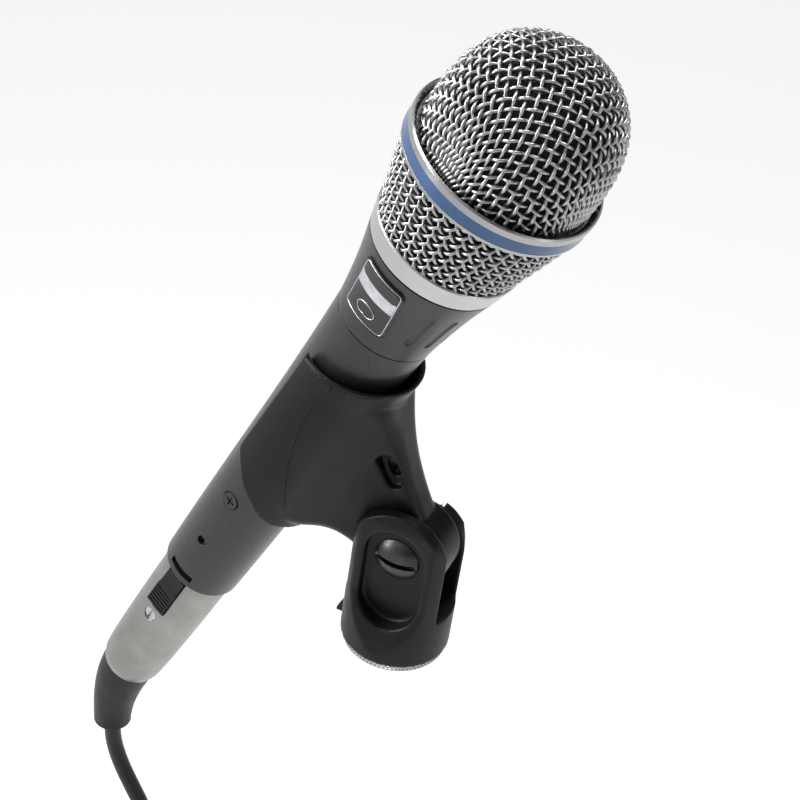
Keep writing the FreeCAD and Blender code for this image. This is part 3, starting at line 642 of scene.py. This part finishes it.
def lower_normal(place):
    flat = math.hypot(place.x, place.y)
    return Vector((place.x / flat, place.y / flat, -0.24)).normalized()


def lower_lines():
    """Two families of crossings that wind up the cone at 45 degrees, opposite ways."""
    lines = []
    rows = 17
    rise = CONE_PITCH / math.sqrt(2)
    for family in (1, -1):
        for start in range(AROUND):
            crossings = []
            for row in range(-1, rows):
                z = 146.4 + rise * row
                angle = 2 * math.pi / AROUND * (start + family * row / 2)
                radius = lower_radius(z) - 2 * WIRE_R
                crossings.append(Vector((radius * math.cos(angle), radius * math.sin(angle), z)))
            lines.append((crossings, (0 if family == 1 else 1)))
    return lines


woven("lower_cloth", lower_lines(), lower_normal, 146.0, 168.6, CLIP, "lower_grille")


# ---- badge: light frame, bar and a formula cardioid, no lettering ----

HOUSING = [(13.75, 113.0), (14.45, 118.5), (15.3, 124.0), (16.25, 129.2), (17.4, 134.5), (18.6, 139.6)]


def on_housing(x, z, height):
    """Place on the flared housing, x round it from the badge's middle."""
    for (r0, z0), (r1, z1) in zip(HOUSING, HOUSING[1:]):
        if z <= z1 or z1 == HOUSING[-1][1]:
            radius = r0 + (r1 - r0) * (z - z0) / (z1 - z0)
            break
    x = max(-radius * 0.95, min(radius * 0.95, x))
    out = radius + height
    angle = math.asin(x / radius)
    return Vector((out * math.sin(angle), -out * math.cos(angle), z))


def rounded_rectangle(half, low, high, corner, steps=8):
    points = []
    for cx, cz, start in ((half, high, 0), (-half, high, 90), (-half, low, 180), (half, low, 270)):
        centre_x = cx - math.copysign(corner, cx)
        centre_z = cz - corner if cz == high else cz + corner
        for step in range(steps + 1):
            angle = math.radians(start + 90 * step / steps)
            points.append((centre_x + corner * math.cos(angle), centre_z + corner * math.sin(angle)))
    return points


def badge_line(name, outline, radius, height, material):
    dense = []
    for (x0, z0), (x1, z1) in zip(outline, outline[1:] + outline[:1]):
        parts = max(1, int(math.hypot(x1 - x0, z1 - z0) / 0.5))
        for part in range(parts):
            t = part / parts
            dense.append(on_housing(x0 + (x1 - x0) * t, z0 + (z1 - z0) * t, height))
    verts, faces = [], []
    add_tube(verts, faces, dense, radius, 8, closed=True)
    return mesh_piece(name, verts, faces, MIC, material, "microphone")


def badge_patch(name, half, low, high, corner, height, material):
    """Thin plate that follows the flare."""
    verts, faces = [], []
    rows, columns = 14, 20
    for layer in (height, height - 0.12):
        for row in range(rows + 1):
            z = low + (high - low) * row / rows
            inset = max(0.0, corner - min(z - low, high - z))
            width = half - (corner - math.sqrt(max(corner ** 2 - inset ** 2, 0.0)))
            for column in range(columns + 1):
                x = -width + 2 * width * column / columns
                verts.append(on_housing(x, z, layer))
    per = columns + 1
    sheet = (rows + 1) * per
    for row in range(rows):
        for column in range(columns):
            a = row * per + column
            faces.append((a, a + 1, a + per + 1, a + per))
            faces.append((sheet + a, sheet + a + per, sheet + a + per + 1, sheet + a + 1))
    rim = [c for c in range(per)] + [r * per + columns for r in range(1, rows + 1)]
    rim += [rows * per + c for c in range(columns - 1, -1, -1)] + [r * per for r in range(rows - 1, 0, -1)]
    for a, b in zip(rim, rim[1:] + rim[:1]):
        faces.append((a, sheet + a, sheet + b, b))
    return mesh_piece(name, verts, faces, MIC, material, "microphone")


badge_patch("badge_ground", 7.0, 118.5, 136.5, 1.3, 0.5, BADGE_BLACK)
badge_line("badge_frame", rounded_rectangle(6.3, 119.2, 135.8, 1.1), 0.13, 0.5, BADGE_LIGHT)
badge_patch("badge_bar", 6.2, 127.7, 132.2, 0.3, 0.56, BADGE_LIGHT)
badge_patch("badge_strip", 5.9, 131.7, 135.5, 0.8, 0.66, BADGE_BLACK)
cardioid = []
for step in range(72):
    angle = 2 * math.pi * step / 72
    reach = 1.6 * (1.3 + math.sin(angle))
    cardioid.append((1.15 * reach * math.cos(angle), 122.0 + 0.82 * reach * math.sin(angle)))
badge_line("badge_curve", cardioid, 0.12, 0.55, BADGE_LIGHT)


# ---- clip: moulded cradle and base with soft edges ----

def soft_copy(node, voxel_mm, material, body, rounds):
    """A node's shape rebuilt as one fine mesh and relaxed, for the soft edges of a moulding."""
    source = NODES[node]
    mesh = source.data.copy()
    piece = bpy.data.objects.new("moulded_" + node, mesh)
    bpy.context.collection.objects.link(piece)
    remesh = piece.modifiers.new("fine", "REMESH")
    remesh.mode = "VOXEL"
    remesh.voxel_size = voxel_mm * MM
    relax = piece.modifiers.new("relax", "SMOOTH")
    relax.factor = 0.5
    relax.iterations = rounds
    graph = bpy.context.evaluated_depsgraph_get()
    finished = bpy.data.meshes.new_from_object(piece.evaluated_get(graph))
    piece.modifiers.clear()
    piece.data = finished
    piece.data.materials.clear()
    piece.data.materials.append(material)
    piece.data.polygons.foreach_set("use_smooth", [True] * len(piece.data.polygons))
    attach(piece, body)
    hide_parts(node)
    return piece


cradle = soft_copy("clip_cradle", 0.45, CLIP_PLASTIC, "clip", 6)
soft_copy("clip_base", 0.4, BASE_PLASTIC, "base", 5)

surface = BVHTree.FromPolygons(
    [CLIP.inverted() @ (v.co / MM) for v in cradle.data.vertices],
    [tuple(p.vertices) for p in cradle.data.polygons],
)


def bead_on_cradle(name, places, radius):
    """A raised line over the cradle, through (x, z) places seen from the badge side."""
    dense = smooth_path([Vector((x, 0, z)) for x, z in places], 8)
    path = []
    for place in dense:
        hit = surface.ray_cast(Vector((place.x, -60.0, place.z)), Vector((0, 1, 0)))[0]
        if hit is not None:
            path.append(hit)
    verts, faces = [], []
    add_tube(verts, faces, path, radius, 10)
    return mesh_piece(name, verts, faces, CLIP, CLIP_PLASTIC, "clip")


line = []
for station, angle in ((97.2, -1), (86.9, -4), (77.2, 0), (68.3, 8), (59.6, 19), (50.1, 34)):
    line.append((16.2 * math.sin(math.radians(angle)), station))
bead_on_cradle("parting_line", line, 0.28)


FRONT_EDGE_R = 15.95
FRONT_EDGE_Z = 98.75
FRONT_SLANT = 0.22


def front_rim():
    """Rounded edge round the slanting front of the cradle."""
    path = []
    for step in range(97):
        angle = math.radians(-128.5 + 257.0 * step / 96)
        x = FRONT_EDGE_R * math.cos(angle)
        path.append(Vector((x, FRONT_EDGE_R * math.sin(angle), FRONT_EDGE_Z + FRONT_SLANT * x)))
    verts, faces = [], []
    add_tube(verts, faces, path, 0.55, 12)
    return mesh_piece("front_rim", verts, faces, CLIP, CLIP_PLASTIC, "clip")


front_rim()


# ---- knurled edge of the thread insert ----

def knurl():
    verts, faces = [], []
    count = 78
    for row, z in enumerate((0.55, 1.45)):
        for step in range(count):
            angle = 2 * math.pi * (step + 0.5 * row) / count
            wide = 2 * math.pi / count * 0.46
            start = len(verts)
            for da, dz in ((-wide, 0), (0, -0.46), (wide, 0), (0, 0.46)):
                verts.append(Vector((14.1 * math.cos(angle + da), 14.1 * math.sin(angle + da), z + dz)))
            verts.append(Vector((14.55 * math.cos(angle), 14.55 * math.sin(angle), z)))
            for side in range(4):
                faces.append((start + side, start + (side + 1) % 4, start + 4))
    return mesh_piece("insert_knurl", verts, faces, ROW, BRASS, "base", smooth=False)


knurl()

# ---- studio ----

world = bpy.data.worlds.new("studio")
bpy.context.scene.world = world
world.use_nodes = True
sky = world.node_tree
bright_side = sky.nodes.new("ShaderNodeVectorMath")
bright_side.operation = "DOT_PRODUCT"
bright_side.inputs[1].default_value = (-0.86, -0.1, 0.5)
sky.links.new(sky.nodes.new("ShaderNodeTexCoord").outputs["Generated"], bright_side.inputs[0])
fade = sky.nodes.new("ShaderNodeMapRange")
fade.inputs["From Min"].default_value = -0.35
fade.inputs["From Max"].default_value = 0.95
fade.inputs["To Min"].default_value = 0.07
fade.inputs["To Max"].default_value = 0.85
sky.links.new(bright_side.outputs["Value"], fade.inputs["Value"])
sky.links.new(fade.outputs["Result"], sky.nodes["Background"].inputs["Strength"])
sky.nodes["Background"].inputs["Color"].default_value = (1.0, 1.0, 1.0, 1.0)
bpy.context.scene.view_settings.view_transform = "Standard"


def area_light(name, place, target, size, power, tint=(1.0, 1.0, 1.0)):
    data = bpy.data.lights.new(name, "AREA")
    data.shape = "RECTANGLE"
    data.size, data.size_y = size
    data.energy = power
    data.color = tint
    light = bpy.data.objects.new(name, data)
    light.location = place
    light.rotation_mode = "QUATERNION"
    light.rotation_quaternion = (Vector(target) - Vector(place)).to_track_quat("-Z", "Y")
    bpy.context.collection.objects.link(light)


HEAD = (0.0, 0.0, 0.1)
area_light("key", (-0.85, -0.2, 0.6), HEAD, (0.3, 0.7), 11.0)
area_light("strip", (-0.6, -0.5, 0.3), (-0.03, 0.0, 0.02), (0.07, 0.6), 3.0)
area_light("top", (0.0, 0.25, 1.2), HEAD, (0.5, 0.5), 7.0)
area_light("side", (1.0, -0.1, 0.35), HEAD, (0.12, 0.8), 1.6)

floor_mesh = bpy.data.meshes.new("floor")
floor_reach = 80.0
floor_z = -1.1
corners = ((-1, -1), (1, -1), (1, 1), (-1, 1))
floor_mesh.from_pydata([(x * floor_reach, y * floor_reach, floor_z) for x, y in corners], [], [(0, 1, 2, 3)])
floor = bpy.data.objects.new("floor", floor_mesh)
floor_shader = Shader("floor", (0.95, 0.95, 0.95), 0.9)
floor_shader.main.inputs["Emission Color"].default_value = (1.0, 1.0, 1.0, 1.0)
floor_shader.main.inputs["Emission Strength"].default_value = 0.38
floor_mesh.materials.append(floor_shader.material)
bpy.context.collection.objects.link(floor)
